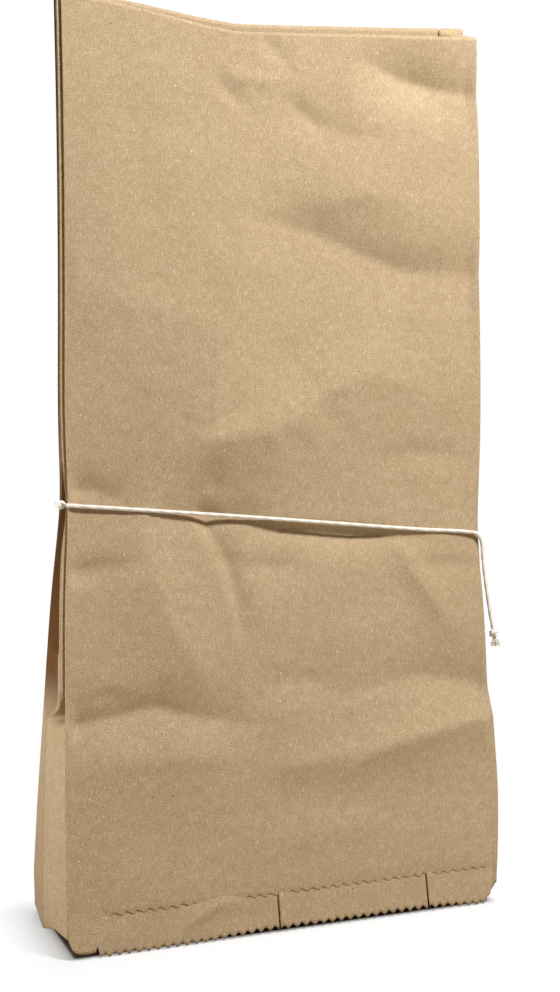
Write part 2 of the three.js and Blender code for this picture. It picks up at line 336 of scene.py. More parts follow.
frayed_end = finished_piece("frayed_end", frayed_bm)

# %% [markdown]
# ## The string, done
#
# The cord, its two knots and its frayed end are made, and the imported string is hidden.

print("string pieces made")

# %% [markdown]
# ## The bag's form
#
# A paper bag is one sheet, folded. It could be simulated as cloth, but then no fold would stay where it
# was put. So its form is worked out from a few sizes: how deep it is at each height, how wide, and where
# its middle lies. Below the pop line the sides stand open; above it they are pleated in, out and in
# again. Heights along the sheet are called levels, because the string slants and the sheet slants with
# it.

# %% Sizes of the bag, in millimetres
panel_width = 133.4
side_width = 46.5
bag_height = 275.5
paper_thickness = 0.22
upright_height = 13.0
hip_height, hip_reach, hip_bulge, hip_shift = 36.0, 28.0, 1.3, 1.0
pop_height, pop_blend = 63.0, 3.0
side_ridge = 2.2
pleat_gap, pleat_span, pleat_room = 0.7, 27.0, 2.6
ridge_out = {-1: 1.5, 1: -0.2}
ridge_pinch, pinch_reach = 0.8, 9.0
neck_height, neck_tilt, neck_depth = 119.7, 11.6, 10.6
neck_squeeze, neck_reach, neck_fade = 1.1, 20.0, 12.0
mouth_depth = 9.2
neck_shift_x, neck_shift_y = 4.5, -4.4
mouth_shift_x, mouth_shift_y = 7.8, -1.0


def ramp(value, start, end):
    return np.clip((value - start) / (end - start), 0, 1)


def ease(share):
    return share * share * (3 - 2 * share)


def swell(value, place, reach):
    return np.exp(-(((value - place) / reach) ** 2))


def mix(a, b, share):
    return a + (b - a) * share


def depth_at(level):
    below = mix(side_width, neck_depth, ramp(level, upright_height, neck_height))
    above = mouth_depth + (neck_depth - mouth_depth) * np.exp(-np.maximum(level - neck_height, 0) / neck_fade)
    return np.where(level < neck_height, below, above)


def half_width_at(level):
    bulge = hip_bulge * swell(level, hip_height, hip_reach)
    return panel_width / 2 + bulge - neck_squeeze * swell(level, neck_height, neck_reach)


def middle_at(level):
    below = ramp(level, upright_height, neck_height)
    above = ramp(level, neck_height, bag_height)
    x = mix(neck_shift_x * below, mouth_shift_x, 1 - (1 - above) ** 2)
    y = mix(neck_shift_y * below, mouth_shift_y, above)
    return x + hip_shift * swell(level, hip_height, hip_reach), y


def slanted(x, level):
    rising = ramp(level, upright_height, neck_height)
    falling = 1 - ramp(level, neck_height, bag_height)
    return level - neck_tilt * np.where(level < neck_height, rising, falling) * x / panel_width


for spot, level in (("foot", 0.0), ("string", neck_height), ("mouth", bag_height)):
    print(f"depth at the {spot}: {float(depth_at(np.array(level))):.1f} mm")

# %% [markdown]
# ## The creases
#
# Paper that has been handled keeps its creases: valleys and ridges that are sharp along a line and fade
# away to either side. Each one is a line of points on the panel, and each point has its rise out of the
# sheet. A crease may reach further on one side than on the other, where left and right are seen along the
# line from its first point. The largest one, which is shaped like a beak, also has a round dome on its
# right side. Sculpting could do all this by hand; a list keeps every crease easy to find and to change.

# %% Creases: name, line of (x, z, rise), reach to its left, reach to its right, reach of its dome
front_creases = [
    ("dent under the mouth", [(32, 261, 0), (42, 257, -2.6), (52, 254.5, -4.4), (60, 253, -4.2),
                              (68, 252, -2.8), (80, 251, -2.2)], 20, 20),
    ("hollow below the dent", [(4, 240, -0.2), (16, 240, -0.7), (30, 236, -0.9), (48, 236, -0.5),
                               (60, 238, 0)], 13, 14),
    ("slanting valley", [(-12, 212, 0), (-2, 209, -1.2), (10, 207.5, -2.1), (22, 204.5, -2.8),
                         (36, 199, -3.1), (48, 195, -3), (58, 195, -2.5), (80, 195, -2)], 19, 48),
    ("ridge over the valley", [(4, 213, 0), (20, 214, 0.6), (32, 218, 1), (42, 218, 0.6),
                               (58, 213, 0)], 18, 9),
    ("beak", [(-10, 238, 0), (-7, 224, 0.7), (-4, 208, 1.2), (-6, 195, 1.6), (-9, 180, 1.9), (-14, 166, 2.2),
              (-21, 152, 2.3), (-25, 146, 2), (-15, 144, 1.2), (4, 147, 0.7), (12, 152, 1.2), (19, 157, 1.8),
              (34, 163, 1.5), (48, 160, 1), (66, 149, 0)], 21, 28, 38),
    ("slope over the lip", [(-26, 145, 0.3), (-18, 143, 3.2), (0, 145.5, 3.3), (10, 150, 2),
                            (18, 156, 0)], 40, 34),
    ("left shoulder", [(-66, 186, 1), (-45, 184, 1.3), (-28, 180, 1.3), (-13, 174, 0)], 40, 34),
    ("left swell", [(-46, 236, 0), (-46, 208, 0.6), (-43, 182, 0.6), (-40, 160, 0.4),
                    (-38, 146, 0)], 16, 24),
    ("hollow at the left end of the string", [(-74, 130, -1.7), (-54, 129.5, -1.2), (-46, 127, -0.5),
                                              (-40, 122, 0)], 8, 8),
    ("dent over the string", [(-28, 127, 0), (-17, 130, -0.7), (-5, 126, 0)], 9, 9),
    ("dent on the right over the string", [(36, 133, 0), (48, 139, -0.9), (66, 137, -0.4)], 7, 8),
    ("hollow bridged by the string", [(-8, 117.4, 0), (4, 116.2, -2.3), (28, 114, -2.9),
                                      (44, 112.8, -1.3), (56, 112, 0)], 4, 11),
    ("gap behind the string", [(-38, 123.4, 0), (-28, 122.4, -0.9), (-19, 121.4, -1.8),
                               (-9, 120.5, -1.2), (2, 119.5, 0)], 8, 11),
    ("hollow left below the string", [(-74, 105, -1.6), (-52, 107, -1.2), (-38, 109, 0)], 5, 7),
    ("rounded fold", [(-40, 120, 0.4), (-37, 104, 2.2), (-34, 92, 2), (-28, 80, 1.4),
                      (-18, 69, 0)], 18, 20),
    ("upright crease", [(-25, 131, 0), (-20, 119, -0.8), (-14, 107, -1.4), (-11.5, 95, -1.1),
                        (-11, 82, 0)], 7, 5),
    ("shadowed hollow under the string", [(-13, 105.5, 0), (0, 105, -1.4), (14, 106, 0)], 9, 10),
    ("slanting step", [(40, 114, 0.4), (46, 102, 1.2), (53, 91, 1.1), (62, 80, 0)], 14, 8),
    ("thin crease on the right", [(39, 105, 0), (50, 104, -0.5), (72, 102.5, -0.5)], 4, 6),
    ("valley above the right fold", [(6, 66, 0), (22, 67, -0.9), (34, 68, -1.7), (46, 70, -2.3),
                                     (58, 68, -2.5), (80, 63, -1.8)], 20, 15),
    ("ridge at the right pop line", [(12, 38, 0), (22, 46, 1.3), (30, 49.6, 2.2), (40, 51.6, 2.5),
                                     (55, 54.5, 2.3), (80, 57.5, 2.2)], 10, 18),
    ("middle ridge", [(-8, 46, 0), (4, 47, 1.2), (16, 48, 1.2), (28, 51, 0)], 9, 10),
    ("valley at the left pop line", [(-76, 62, -2.7), (-60, 63.5, -2.7), (-52, 64.5, -2.6),
                                     (-38, 66.5, -2.5), (-28, 63.5, -1.8), (-17, 61, -1.3),
                                     (-5, 59.5, 0)], 12, 11),
    ("thin fold over the left pop line", [(-60, 70.5, 0), (-52, 71, -0.5), (-44, 70, 0)], 3, 4),
    ("swell under the left pop line", [(-62, 50, 0.3), (-48, 52, 1.1), (-30, 52, 1.2),
                                       (-14, 50, 0.3)], 12, 16),
    ("middle valley", [(-12, 65, 0), (0, 71, -0.9), (10, 71, -0.9), (20, 71, 0)], 9, 9),
    ("soft swell", [(-14, 28, 0), (6, 26, 0.8), (22, 28, 0.7), (36, 30, 0)], 10, 12),
    ("first dent at the dip", [(-16, 254, 0), (-8, 246, -0.7), (-3, 240, 0)], 6, 5),
    ("fold at the dip", [(-12, 251, 0), (0, 251, 0.7), (12, 251.5, 0)], 5, 6),
    ("second dent at the dip", [(-1, 267, 0), (6, 260, -0.8), (13, 253, 0)], 6, 6),
    ("third dent at the dip", [(5, 248, 0), (15, 242, -0.7), (24, 234, 0)], 6, 6),
]
back_creases = [
    ("pop line of the back", [(80, 64, 1.4), (30, 61, 1.8), (-20, 64, 1.6), (-76, 61, 1.4)], 16, 14),
    ("hollow bridged by the string", [(52, 115, 0), (36, 117, -0.5), (-30, 122, -0.5),
                                      (-46, 123, 0)], 14, 14),
    ("slanting fold of the back", [(64, 148, 0), (30, 166, 1.2), (-10, 178, 1.1), (-46, 186, 0)], 24, 20),
    ("dent of the back", [(-52, 93, 0), (-20, 84, -1), (14, 92, 0)], 12, 14),
]
crest_round = 0.35
tie_break = 1e-4
dome_beside_heights, dome_beside_widths = (119, 150), (-19, -29)
dome_above_heights, dome_above_widths = (146, 152), (4, -4)


def dome_share(x, z):
    """Where the beak ends in a dome: all along its side towards the left fold, but not under its lip."""
    beside = ramp(z, *dome_beside_heights) * ease(ramp(x, *dome_beside_widths))
    above = ease(ramp(z, *dome_above_heights)) * ease(ramp(x, *dome_above_widths))
    return np.maximum(beside, above)


def crease_lift(x, z, line, left, right, domed=None):
    """How far one crease lifts the sheet at each point."""
    nearest = np.full(x.shape, np.inf)
    lift = np.zeros(x.shape)
    for (ax, az, a_rise), (bx, bz, b_rise) in zip(line, line[1:]):
        length = math.hypot(bx - ax, bz - az)
        along = ((x - ax) * (bx - ax) + (z - az) * (bz - az)) / length**2
        share = np.clip(along, 0, 1)
        distance = np.hypot(x - ax - share * (bx - ax), z - az - share * (bz - az))
        on_left = (bx - ax) * (z - az) > (bz - az) * (x - ax)
        blunt = np.sqrt(distance**2 + crest_round**2) - crest_round
        fade = np.clip(1 - blunt / np.where(on_left, left, right), 0, 1) ** 2
        if domed:
            dome = np.clip(1 - (distance / domed) ** 2, 0, 1)
            fade = np.where(on_left, fade, mix(fade, dome, dome_share(x, z)))
        rank = distance + tie_break * length * np.abs(along - share)
        lift = np.where(rank < nearest, mix(a_rise, b_rise, share) * fade, lift)
        nearest = np.minimum(nearest, rank)
    return lift


def relief(creases, x, z):
    return sum(crease_lift(x, z, *crease[1:]) for crease in creases)


print(f"{len(front_creases)} creases in front, {len(back_creases)} behind")

# %% [markdown]
# ## Panels and pleats
#
# A panel point is named by how far it lies along the panel, from -1 at the left fold to 1 at the right
# fold, and by its level. A crease fades out just before a fold, because a fold is stiff. Only the right
# fold gives way a little to the dents that reach it. A side has five folds: the front fold, a valley, a
# ridge, a valley and the back fold. The front pleat lies close behind the front panel, so it too gives
# way where the panel is dented. On the left its ridge stands out a little beyond the front fold and
# catches the light.

# %% Panels and pleats
fold_guard, fold_give, give_share = 4.0, 0.45, 0.5
fold_turn, turn_inset = 0.6, 0.6


def panel_points(along, level, facing, creases):
    middle_x, middle_y = middle_at(level)
    half = half_width_at(level)
    x = middle_x + along * half
    z = slanted(along * half, level)
    fade = ramp(level, upright_height, 2 * upright_height)
    give = fold_give * ramp(along, 0, give_share)
    guard = mix(give, 1, ease(ramp(half * (1 - np.abs(along)), 0, fold_guard)))
    y = middle_y + facing * (depth_at(level) / 2 + fade * guard * relief(creases, x, z))
    return np.stack([x, y, z], axis=-1)


def side_points(side, along, level):
    """Points of a side, with along from 0 at the front fold to 4 at the back fold."""
    front = panel_points(np.full(level.shape, float(side)), level, -1, front_creases)
    back = panel_points(np.full(level.shape, float(side)), level, 1, back_creases)
    depth = depth_at(level)
    popped = 1 - ease(ramp(level, pop_height - pop_blend, pop_height + pop_blend))
    pleat = np.clip(depth - pleat_span, pleat_gap, depth / 2)
    ridge = mix(pleat, depth / 2, popped) / depth
    quarter = side_width / 4
    folded = [np.sqrt(np.maximum(0, quarter**2 - (span / 2) ** 2)) for span in (pleat, depth - pleat)]
    valley = np.maximum(ridge / 2, (1 - popped) * np.minimum(pleat_room, depth / 3) / depth)
    stand = ridge_out[side] * (1 - ridge_pinch * swell(level, neck_height, pinch_reach))
    shares = [0 * ridge, valley, ridge, (1 + ridge) / 2, 0 * ridge + 1]
    insets = [
        0 * ridge,
        mix(folded[0], -side_ridge / 2, popped),
        mix(-stand, -side_ridge, popped),
        mix(folded[1], -side_ridge / 2, popped),
        0 * ridge,
    ]
    index = min(int(along), 3)
    share = mix(shares[index], shares[index + 1], along - index)
    inset = mix(insets[index], insets[index + 1], along - index)
    points = front + (back - front) * share[..., None]
    points[..., 0] -= side * inset
    turn = fold_turn * ramp(inset, 0, turn_inset) * (1 - popped)
    points[..., 1] += turn * np.interp(along, [1, 2], [1, 0])
    dent = np.maximum(0, -relief(front_creases, points[..., 0], points[..., 2]))
    dent *= ease(ramp(inset, 0, fold_guard)) * (1 - popped)
    points[..., 1] += dent * np.interp(along, [2, 3, 4], [1, 0.7, 0])
    return points


right_fold = panel_points(np.array(1.0), np.array(neck_height), -1, front_creases)
print("front of the right fold at the string:", right_fold.round(1))

# %% [markdown]
# ## The mouth and the hem
#
# The mouth's edge sags between its corners, and the front panel is cut lower than the back. At the foot
# the sheet turns under to the flat base; on the sides this hem curves up a little towards the front fold.
# A boolean could trim the edges, but rows that end at the edge's own height leave a cleaner sheet. The
# columns and rows of the sheet stand closer together at the folds, the pop line and the string.

# %% Edges of the sheet
front_mouth = [
    (-62, 271.6), (-45, 270.2), (-30, 268), (-16, 265.6), (-6, 264.7), (15, 266), (45, 268.2), (80, 270.2)
]
back_mouth = [(-62, 275.5), (-35, 273.4), (-17, 271), (-3, 269.8), (20, 271.1), (51, 273.2), (80, 275.4)]
side_hem = [(0, 5.6), (1, 5.2), (2, 2.4), (3, 2.5), (4, 2.9)]
panel_hem, hem_corner = 3.0, 0.02
flat_inset = 8.0
base_lift = 0.5


def edge_height(edge, place):
    return float(np.interp(place, [p[0] for p in edge], [p[1] for p in edge]))


def graded(start, end, count, fine):
    """Even steps between two values, with a few finer ones at both ends, where the folds are."""
    ends = [start + (end - start) * share for share in fine]
    middle = list(np.linspace(ends[-1], end - (ends[-1] - start), count))
    return ends[:-1] + middle + [end - (v - start) for v in reversed(ends[:-1])]


print(f"mouth {edge_height(back_mouth, 0) - edge_height(front_mouth, 0):.1f} mm lower in front than behind")

# %% Columns of the sheet
seam_half = 6.0
seam_lift = 0.35
seam_share = seam_half / (panel_width / 2)
back_count, back_fine = 18, (0, 0.006, 0.02)
front_columns = graded(-1, 1, 146, (0, 0.0025, 0.006, 0.011))
side_quarter = graded(0, 1, 4, (0, 0.04, 0.12))
columns = [("back", along) for along in graded(seam_share, -1, back_count, back_fine)[:-1]]
columns += [("left", 3 - q + t) for q in range(4) for t in reversed(side_quarter[1:])]
columns += [("front", along) for along in front_columns[:-1]]
columns += [("right", q + t) for q in range(4) for t in side_quarter[:-1]]
columns += [("back", along) for along in graded(1, -seam_share, back_count, back_fine)]
print(f"{len(columns)} columns round the bag")

# %% Rows of the sheet
foot_top = 20.0
mouth_start = 235.0
row_stops = [0, foot_top, 57, 70, 105, 136, mouth_start, bag_height]
row_counts = [10, 24, 12, 24, 26, 65, 29]
row_levels = np.array([bag_height])
for start, end, count in reversed(list(zip(row_stops, row_stops[1:], row_counts))):
    row_levels = np.concatenate([np.linspace(start, end, count + 1)[:-1], row_levels])
hem_rows = 4
print(f"{len(row_levels) + hem_rows} rows from the base to the mouth")

# %% [markdown]
# ## Folding the sheet
#
# Now the bag is folded like a real one. A flat grid stands for the sheet; every vertex moves to its place
# on a panel or in a pleat. The two ends of the sheet overlap in the middle of the back, where the glued
# seam is. The flat places stay behind as a UV map, so that the paper's fibres later follow the sheet
# round its folds.

# %% Fold the sheet
girth_row = 40


def column_points(panel, along):
    if panel in ("left", "right"):
        side = -1 if panel == "left" else 1
        fold = panel_points(np.array(float(side)), np.array(bag_height), -1, front_creases)[0]
        top = mix(edge_height(front_mouth, fold), edge_height(back_mouth, fold), float(ramp(along, 2, 4)))
        hem = edge_height(side_hem, along)
    else:
        place = middle_at(np.array(bag_height))[0] + along * panel_width / 2
        top = edge_height(front_mouth if panel == "front" else back_mouth, place)
        corner = swell(1 - abs(along), 0, hem_corner) * (panel == "front")
        hem = panel_hem + (side_hem[0][1] - panel_hem) * corner
    level = np.where(row_levels < foot_top, mix(hem, foot_top, row_levels / foot_top), row_levels)
    stretch = (row_levels - mouth_start) / (bag_height - mouth_start)
    level = np.where(row_levels > mouth_start, mix(mouth_start, top, stretch), level)
    if panel == "front":
        return panel_points(np.full(level.shape, along), level, -1, front_creases), level
    if panel == "back":
        return panel_points(np.full(level.shape, along), level, 1, back_creases), level
    return side_points(side, along, level), level


def turned_under(points):
    """The hem: a few rows that curve from the lowest wall row in to the flat base."""
    wall = points[0]
    shrink = np.array([1 - flat_inset / (panel_width / 2), 1 - flat_inset / (side_width / 2)])
    rows = []
    for share in np.linspace(0, 1, hem_rows + 1)[:-1]:
        inward = math.cos(share * math.pi / 2)
        lift = math.sin(share * math.pi / 2)
        xy = wall[:2] * (1 + (shrink - 1) * inward)
        rows.append([xy[0], xy[1], mix(base_lift, wall[2], lift)])
    return np.array(rows)


walls = []
flats = []
across = 0.0
for index, (panel, along) in enumerate(columns):
    points, level = column_points(panel, along)
    if panel == "back" and index > len(columns) / 2:
        overlap = ramp(3 * seam_half / panel_width - along, 0, seam_half / panel_width)
        points[:, 1] += seam_lift * float(overlap)
    points = np.vstack([turned_under(points), points])
    walls.append(points)
    if index:
        across += float(np.linalg.norm(points[girth_row] - walls[index - 1][girth_row]))
    down = np.concatenate([np.linspace(-flat_inset, 0, hem_rows + 1)[:-1], level - level[0]])
    flats.append(np.stack([np.full(down.shape, across), down], axis=1))
sheet_points = np.stack(walls, axis=1)
sheet_flat = np.stack(flats, axis=1)
print(f"sheet {across:.0f} mm round the bag and {np.ptp(sheet_flat[..., 1]):.0f} mm high")

# %% [markdown]
# ## Waves, and painted shade in the folds
#
# Between its creases the paper isn't flat either. A noise texture with a displace modifier would do, but
# it would also move the folds and edges, so two soft waves move the panels' vertices only. A number on
# each vertex says how much painted shade darkens the paper's colour. Inside the pleats it paints the brown
# shade that light would take bouncing from paper to paper, along the middle fold of the open side it paints
# a darker line, and the back half of that side is painted a little darker, as it faces away from the lamps.

# %% Soft waves of handled paper
wave_edge, wave_foot = 8, 12
wave_slice = 3.7


def soft_waves(points, flat, height, scale):
    """Small, wide waves, square to the front and back, that leave folds and edges alone."""
    for row, column in np.ndindex(points.shape[:2]):
        panel, along = columns[column]
        if panel not in ("front", "back") or row <= hem_rows:
            continue
        spot = Vector((flat[row, column, 0] / scale, flat[row, column, 1] / scale, wave_slice))
        above_foot = max(0.0, points[row, column, 2] - upright_height)
        guard = min(1.0, (1 - abs(along)) * wave_edge) * min(1.0, above_foot / wave_foot)
        facing = -1 if panel == "front" else 1
        points[row, column, 1] += facing * height * guard * noise.noise(spot)


soft_waves(sheet_points, sheet_flat, height=0.35, scale=26.0)
soft_waves(sheet_points, sheet_flat, height=0.15, scale=9.0)
print(f"front of the panel at y = {sheet_points[..., 1].min():.1f} mm")

# %% The bag's sheet, with painted shade in its pleats and folds
# Where painted shade goes: the pleats above the pop line, a dark line along the open side's middle fold, and
# that side's back half.
pleat_shade_edge = (0.12, 0.25)
ridge_shade, ridge_shade_reach = 0.3, 0.08
back_half_shade, back_half_shade_edge = 0.16, (2, 2.1)
pleat_shade_heights = (pop_height - 3, pop_height + 15)
right_heights = (250, 235)


def painted_shade_share(panel, along, height):
    """How much painted shade darkens a point of a side, from 0 to 1."""
    pleated = ramp(min(along, abs(along - 2)), *pleat_shade_edge)
    fold_and_back_shade = ridge_shade * swell(along, 2, ridge_shade_reach) + back_half_shade * ramp(along, *back_half_shade_edge)
    share = mix(fold_and_back_shade, pleated, ease(ramp(height, *pleat_shade_heights)))
    return float(share * (ramp(height, *right_heights) if panel == "right" else 1))


bag_bm, bag_places = flat_grid(len(columns) - 1, len(sheet_points) - 1)
lay_out(bag_bm, bag_places, sheet_points, sheet_flat)
# Each side vertex keeps its share of painted shade.
painted_shade = bag_bm.verts.layers.float.new("painted_shade")
for vert, (column, row) in zip(bag_bm.verts, bag_places):
    panel, along = columns[column]
    if panel in ("left", "right"):
        vert[painted_shade] = painted_shade_share(panel, along, sheet_points[row, column, 2])
bag_sheet = finished_piece("bag_sheet", bag_bm)
give_thickness(bag_sheet, paper_thickness)
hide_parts("paper_bag")

# %% [markdown]
# ## The base
#
# Under the bag lies the flat base, with a glued flap across it. They could be folded from the bag's own
# sheet, but nothing of those folds is seen. So both are plain sheets: a one-face grid is scaled, its
# corners are cut with a bevel, and a solidify gives it the paper's thickness.

# %% Base sheets


def base_sheet(name, width, depth, height, cut):
    bm = bmesh.new()
    bmesh.ops.create_grid(bm, x_segments=1, y_segments=1, size=0.5)
    bmesh.ops.scale(bm, verts=bm.verts, vec=(width * MM, depth * MM, 1))
    bmesh.ops.bevel(
        bm, geom=bm.verts[:], offset=cut * MM, affect="VERTICES", segments=1, profile=0.5, material=-1
    )
    bmesh.ops.translate(bm, verts=bm.verts, vec=(0, 0, height * MM))
    sheet_map = bm.loops.layers.uv.new("sheet")
    for face in bm.faces:
        for loop in face.loops:
            loop[sheet_map].uv = (loop.vert.co.x / MM, loop.vert.co.y / MM)
    bmesh.ops.solidify(bm, geom=bm.faces[:], thickness=-paper_thickness * MM)
    bmesh.ops.recalc_face_normals(bm, faces=bm.faces)
    return finished_piece(name, bm)


base_panel = base_sheet("base_panel", width=119.5, depth=32.5, height=0.24, cut=3.0)
base_flap = base_sheet("base_flap", width=96.0, depth=26.0, height=0.0, cut=7.0)

# %% [markdown]
# ## The pinked band
#
# A second layer comes out from under the foot of the front panel. Its edge was cut with a toothed blade,
# so it runs in small zigzags. An array of teeth would be too even. So a grid with eight columns to a
# tooth is laid on the panel, and its lower vertices move up and down to form the teeth, each a little
# different. Two slits part the band, its right corner is worn away, and its top goes in behind the panel.

# %% Teeth and edges of the band
tooth_pitch, tooth_depth = 2.8, 1.35
tooth_least, tooth_vary = 0.75, 0.35
tooth_wander, tooth_slice = 6, 0.3
teeth_lift, lift_left, lift_right = 0.9, (-36, -6), (62, 44)
columns_per_tooth = 8
band_left, band_right = -66.7, 66.2
band_top = 15.5
slit_places = (-4.8, 43.1)
slit_width = 0.4
plain_foot = [
    (-66.7, 5.4), (-66.0, 3.4), (-65, 2.2), (-63.6, 1.6),
    (-61, 1.45), (-59.4, 1.7), (-58.7, 3.4), (-58.2, 0.6),
]
worn_foot = [(61.6, 0), (63.2, 2.2), (64, 2.4), (65.1, 4.6), (65.3, 6.4), (66.2, 7.9)]


def tooth(x, start):
    """A zigzag from 0 at the tips to 1 at the roots."""
    return 1 - abs(((x - start) / tooth_pitch) % 1 - 0.5) * 2


def foot_edge(x):
    if x < plain_foot[-1][0]:
        return edge_height(plain_foot, x)
    if x > worn_foot[0][0]:
        return edge_height(worn_foot, x)
    wander = 0.5 + 0.5 * noise.noise(Vector((x / tooth_wander, tooth_slice, 0)))
    lift = teeth_lift * float(ease(ramp(x, *lift_left)) * ease(ramp(x, *lift_right)))
    return lift + tooth_depth * (tooth_least + tooth_vary * wander) * tooth(x, plain_foot[-1][0])


band_columns = []
for x in np.arange(band_left, band_right + 0.01, tooth_pitch / columns_per_tooth):
    if all(abs(x - place) > slit_width for place in slit_places):
        band_columns.append(float(x))
for place in slit_places:
    band_columns += [place - slit_width / 2, place + slit_width / 2]
band_columns = sorted(band_columns)
print(f"{len(band_columns)} columns along the band")

# %% Lay the band on the panel
band_rows = np.linspace(0, 1, 15)
band_creases = [
    ("bowed fold", [(-40, 0, 0), (-35, 4, 0.4), (-28.5, 8, 1.0), (-22, 10.4, 0.8), (-14, 11, 0)], 5, 4),
    ("bulge of the left end", [(-64, 6, 0), (-52, 5, 0.35), (-42, 4, 0)], 6, 5),
    ("dent by the slit", [(-20, 5, 0), (-12, 5.5, -0.2), (-7, 6, 0)], 5, 5),
]
band_gap = 0.04
lip_lift, lip_reach, lip_fade = 0.45, 5, 0.7
flare_slope, flare_top = 0.17, 11
tuck_depth, tuck_start = 0.6, 10.0
end_tuck, end_reach = 0.25, 1.2
band_sheet_place = np.array([400.0, 0.0])
band_points = np.zeros((len(band_rows), len(band_columns), 3))
for column, x in enumerate(band_columns):
    z = mix(foot_edge(x), band_top, band_rows)
    y = np.full(z.shape, -side_width / 2 - paper_thickness - band_gap)
    y -= relief(band_creases, np.full(z.shape, x), z)
    for place in slit_places:
        lip = ease(np.clip(1 - (x - place) / lip_reach, 0, 1)) if x > place else 0.0
        y -= lip_lift * lip * (1 - band_rows * lip_fade)
    y += flare_slope * np.minimum(z - flare_top, 0) + tuck_depth * ease(ramp(z, tuck_start, band_top))
    y += end_tuck * (1 - ramp(x, band_left, band_left + end_reach))
    band_points[:, column] = np.stack([np.full(z.shape, x), y, z], axis=1)
band_flat = band_points[..., [0, 2]] + band_sheet_place
band_bm, band_places = flat_grid(len(band_columns) - 1, len(band_rows) - 1)
lay_out(band_bm, band_places, band_points, band_flat)
slit_faces = []
for face in band_bm.faces:
    centre = face.calc_center_median().x / MM
    if any(abs(centre - place) < slit_width / 4 for place in slit_places):
        slit_faces.append(face)
bmesh.ops.delete(band_bm, geom=slit_faces, context="FACES")
foot_band = finished_piece("foot_band", band_bm)
give_thickness(foot_band, paper_thickness)

# %% [markdown]
# ## The panel's own toothed edge
#
# The front panel ends in teeth too, and it is glued over the band. Only the sides of the teeth that look
# away from the lamp cast a line of shadow. The bag's sheet is too coarse for such teeth, so the panel's
# last few centimetres are laid on as a finer strip: its teeth stand just off the band, and its upper end
# runs into the sheet. At the left end the strip sinks in, because the glue holds it down there.

# %% Toothed edge of the panel
skirt_pitch, skirt_drop, skirt_lean = 3.3, 1.25, 0.66
skirt_line, skirt_slope = 10.8, -0.004
skirt_wander, skirt_wander_length, skirt_slice = 0.3, 5, 7.1
skirt_left, skirt_right, skirt_top = -62, 66.3, 38.0
skirt_proud, skirt_sunk = 0.35, 0.45
proud_left, proud_right = (-61, -54), (66.6, 64.1)
skirt_paper = 0.1
skirt_cuts = 12
skirt_sheet_place = np.array([400.0, 60.0])
skirt_rows = np.array([0, 0.02, 0.05, 0.1, 0.18, 0.28, 0.4, 0.52, 0.64, 0.76, 0.88, 1])


def skirt_edge(x):
    """A saw edge that falls slowly to the right and rises steeply."""
    phase = ((x - band_left) / skirt_pitch) % 1
    fall = phase / skirt_lean if phase < skirt_lean else (1 - phase) / (1 - skirt_lean)
    wander = noise.noise(Vector((x / skirt_wander_length, skirt_slice, 0)))
    return skirt_line + skirt_slope * x + skirt_drop * (0.5 - fall) + skirt_wander * wander


skirt_columns = np.arange(skirt_left, skirt_right, skirt_pitch / skirt_cuts)
skirt_points = np.zeros((len(skirt_rows), len(skirt_columns), 3))
for column, x in enumerate(skirt_columns):
    level = mix(skirt_edge(float(x)), skirt_top, skirt_rows)
    along = (x - middle_at(level)[0]) / half_width_at(level)
    points = panel_points(along, level, -1, front_creases)
    proud = skirt_proud * mix(-1, 1, ramp(x, *proud_left)) * ramp(x, *proud_right)
    points[:, 1] += skirt_sunk * skirt_rows**2 - proud * (1 - ease(skirt_rows))
    skirt_points[:, column] = points
skirt_flat = skirt_points[..., [0, 2]] + skirt_sheet_place
skirt_bm, skirt_places = flat_grid(len(skirt_columns) - 1, len(skirt_rows) - 1)
lay_out(skirt_bm, skirt_places, skirt_points, skirt_flat)
panel_skirt = finished_piece("panel_skirt", skirt_bm)
give_thickness(panel_skirt, skirt_paper)

# %% [markdown]
# ## Kraft paper
#
# Brown kraft paper is matt. Its colour is mottled in soft clouds, in smaller spots and in a fine grain of
# fibres, with a few dark and pale specks. A picture of paper could be laid on it, but noise textures have
# no end and no seam. All of it is drawn in millimetres on the sheet's own UV map, so it turns with the
# paper at every fold. The number on each vertex of the sides mixes in painted shade: a deep brown inside
# the pleats, a dark line along the open side's middle fold and a darker back half.

# %% Helpers for materials


def new_material(name):
    material = bpy.data.materials.new(name)
    material.use_nodes = True
    tree = material.node_tree
    return material, tree, tree.nodes["Principled BSDF"]


def add_node(tree, kind, **settings):
    node = tree.nodes.new(kind)
    for key, value in settings.items():
        if key in node.inputs:
            node.inputs[key].default_value = value
        else:
            setattr(node, key, value)
    return node


def noise_layer(tree, vector, scale, detail, stretch=(1, 1, 1), roughness=0.6):
    mapping = add_node(tree, "ShaderNodeMapping", Scale=stretch)
    texture = add_node(tree, "ShaderNodeTexNoise", Scale=scale, Detail=detail, Roughness=roughness)
    tree.links.new(vector, mapping.inputs["Vector"])
    tree.links.new(mapping.outputs["Vector"], texture.inputs["Vector"])
    return texture.outputs["Fac"]


def stepped(tree, value, low, high):
    step = add_node(tree, "ShaderNodeMapRange", **{"From Min": low, "From Max": high})
    tree.links.new(value, step.inputs["Value"])
    return step.outputs["Result"]


def mixed(tree, share, first, second):
    node = add_node(tree, "ShaderNodeMix", data_type="RGBA")
    for name, value in (("Factor", share), ("A", first), ("B", second)):
        socket = node.inputs[name]
        if isinstance(value, bpy.types.NodeSocket):
            tree.links.new(value, socket)
        else:
            socket.default_value = value
    return node.outputs["Result"]


print("node helpers ready")

